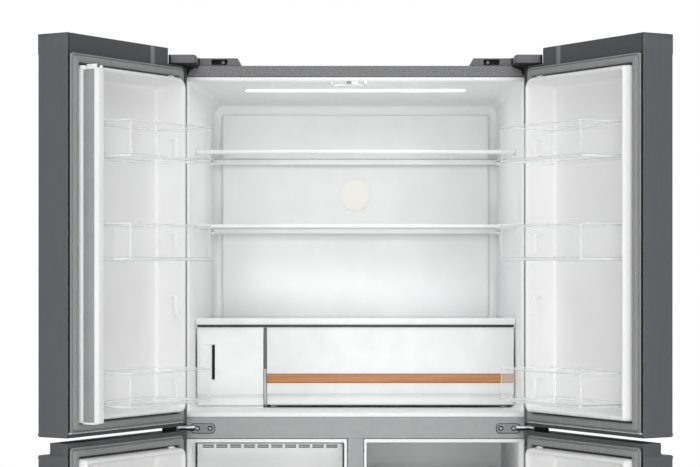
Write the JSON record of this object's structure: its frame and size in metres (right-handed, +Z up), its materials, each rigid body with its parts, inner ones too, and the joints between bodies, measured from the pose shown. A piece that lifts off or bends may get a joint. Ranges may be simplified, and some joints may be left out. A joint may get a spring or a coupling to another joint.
{
  "type": "multi-door refrigerator",
  "caption": "Free-standing refrigerator with French upper doors, a flip mullion, shelves, door bins and crispers over a two-door freezer with drawers.",
  "frame": {"origin": "floor level on the centre line, under the front plane of the cabinet", "axes": "+X right seen from the front, +Y to the back, +Z up"},
  "size_m": [1.428, 1.0862, 1.781],
  "materials": {
    "door_steel": "satin",
    "case_steel": "satin",
    "galvanised": "satin",
    "white_liner": "satin",
    "dark_plastic": "matte",
    "grey_plastic": "matte",
    "seal_vinyl": "matte",
    "clear_plastic": "gloss",
    "shelf_glass": "gloss",
    "white_plastic": "satin",
    "lamp_lens": "satin",
    "wood": "satin",
    "foam": "matte",
    "copper_tube": "satin",
    "coil_aluminium": "satin",
    "black_shell": "satin",
    "hinge_steel": "satin",
    "strip_steel": "satin",
    "frosted_plastic": "satin"
  },
  "bodies": {
    "cabinet": {"outer_case": "case_steel", "back_panel": "galvanised", "base_pan": "galvanised", "insulation": "foam", "fridge_liner": "white_liner", "freezer_liners": "white_liner", "cross_rail": "strip_steel", "center_post": "strip_steel", "duct_cover": "white_plastic", "ceiling_lamp": "lamp_lens", "mullion_guide": "white_plastic", "shelf_frames": "white_plastic", "shelf_glasses": "shelf_glass", "crisper_rails": "white_plastic", "top_hinges": "hinge_steel", "hinge_covers": "dark_plastic", "mid_hinges": "hinge_steel", "bottom_hinges": "hinge_steel", "toe_grille": "dark_plastic", "compressor": "black_shell", "condenser_coil": "copper_tube", "machine_cover": "galvanised", "evaporator_coil": "coil_aluminium", "fan_motors": "dark_plastic", "levelling_feet": "dark_plastic"},
    "upper_left_door": {"upper_left_skin": "door_steel", "upper_left_end_caps": "dark_plastic", "upper_left_foam": "foam", "upper_left_liner": "white_liner", "upper_left_gasket": "seal_vinyl", "upper_left_bins": "clear_plastic"},
    "lower_left_door": {"lower_left_skin": "door_steel", "lower_left_end_caps": "dark_plastic", "lower_left_foam": "foam", "lower_left_liner": "white_liner", "lower_left_gasket": "seal_vinyl"},
    "upper_right_door": {"upper_right_skin": "door_steel", "upper_right_end_caps": "dark_plastic", "upper_right_foam": "foam", "upper_right_liner": "white_liner", "upper_right_gasket": "seal_vinyl", "upper_right_bins": "clear_plastic"},
    "lower_right_door": {"lower_right_skin": "door_steel", "lower_right_end_caps": "dark_plastic", "lower_right_foam": "foam", "lower_right_liner": "white_liner", "lower_right_gasket": "seal_vinyl"},
    "flip_mullion": {"mullion_body": "white_plastic", "mullion_strip": "strip_steel"},
    "crisper_left_drawer": {"crisper_left": "white_plastic"},
    "crisper_right_drawer": {"crisper_right": "white_plastic", "crisper_wood_strip": "wood"},
    "freezer_drawer_vented_box": {"freezer_drawer_vented": "frosted_plastic"},
    "freezer_drawer_left_mid_box": {"freezer_drawer_left_mid": "frosted_plastic"},
    "freezer_drawer_left_low_box": {"freezer_drawer_left_low": "frosted_plastic"},
    "freezer_drawer_right_mid_box": {"freezer_drawer_right_mid": "frosted_plastic"},
    "freezer_drawer_right_low_box": {"freezer_drawer_right_low": "frosted_plastic"},
    "cold_fan": {"evaporator_fan": "grey_plastic"},
    "warm_fan": {"condenser_fan": "grey_plastic"},
    "rollers": {"rear_rollers": "dark_plastic"}
  },
  "joints": [
    {"name": "upper_left_door_swing", "type": "hinge", "parent": "cabinet", "child": "upper_left_door", "pos_m": [-0.4415, -0.0435, 0.876], "axis": [0, 0, -1], "range_deg": [-121, 9]},
    {"name": "lower_left_door_swing", "type": "hinge", "parent": "cabinet", "child": "lower_left_door", "pos_m": [-0.4415, -0.0435, 0.864], "axis": [0, 0, -1], "range_deg": [-121, 9]},
    {"name": "upper_right_door_swing", "type": "hinge", "parent": "cabinet", "child": "upper_right_door", "pos_m": [0.4415, -0.0435, 0.876], "axis": [0, 0, 1], "range_deg": [-121, 9]},
    {"name": "lower_right_door_swing", "type": "hinge", "parent": "cabinet", "child": "lower_right_door", "pos_m": [0.4415, -0.0435, 0.864], "axis": [0, 0, 1], "range_deg": [-121, 9]},
    {"name": "flip_mullion_turn", "type": "hinge", "parent": "upper_left_door", "child": "flip_mullion", "pos_m": [-0.61133, -0.4175, 1.31], "axis": [0, 0, 1], "range_deg": [-90, 0]},
    {"name": "crisper_left_slide", "type": "slide", "parent": "cabinet", "child": "crisper_left_drawer", "axis": [0, -1, 0], "range_m": [0, 0.24]},
    {"name": "crisper_right_slide", "type": "slide", "parent": "cabinet", "child": "crisper_right_drawer", "axis": [0, -1, 0], "range_m": [0, 0.24]},
    {"name": "freezer_drawer_vented_slide", "type": "slide", "parent": "cabinet", "child": "freezer_drawer_vented_box", "axis": [0, -1, 0], "range_m": [0, 0.3]},
    {"name": "freezer_drawer_left_mid_slide", "type": "slide", "parent": "cabinet", "child": "freezer_drawer_left_mid_box", "axis": [0, -1, 0], "range_m": [0, 0.3]},
    {"name": "freezer_drawer_left_low_slide", "type": "slide", "parent": "cabinet", "child": "freezer_drawer_left_low_box", "axis": [0, -1, 0], "range_m": [0, 0.2]},
    {"name": "freezer_drawer_right_mid_slide", "type": "slide", "parent": "cabinet", "child": "freezer_drawer_right_mid_box", "axis": [0, -1, 0], "range_m": [0, 0.3]},
    {"name": "freezer_drawer_right_low_slide", "type": "slide", "parent": "cabinet", "child": "freezer_drawer_right_low_box", "axis": [0, -1, 0], "range_m": [0, 0.2]},
    {"name": "cold_fan_spin", "type": "hinge", "parent": "cabinet", "child": "cold_fan", "pos_m": [0, 0.575, 0.755], "axis": [0, 1, 0], "continuous": true},
    {"name": "warm_fan_spin", "type": "hinge", "parent": "cabinet", "child": "warm_fan", "pos_m": [0.05, 0.51, 0.15], "axis": [1, 0, 0], "continuous": true},
    {"name": "rollers_turn", "type": "hinge", "parent": "cabinet", "child": "rollers", "pos_m": [0, 0.56, 0.02], "axis": [1, 0, 0], "continuous": true}
  ]
}
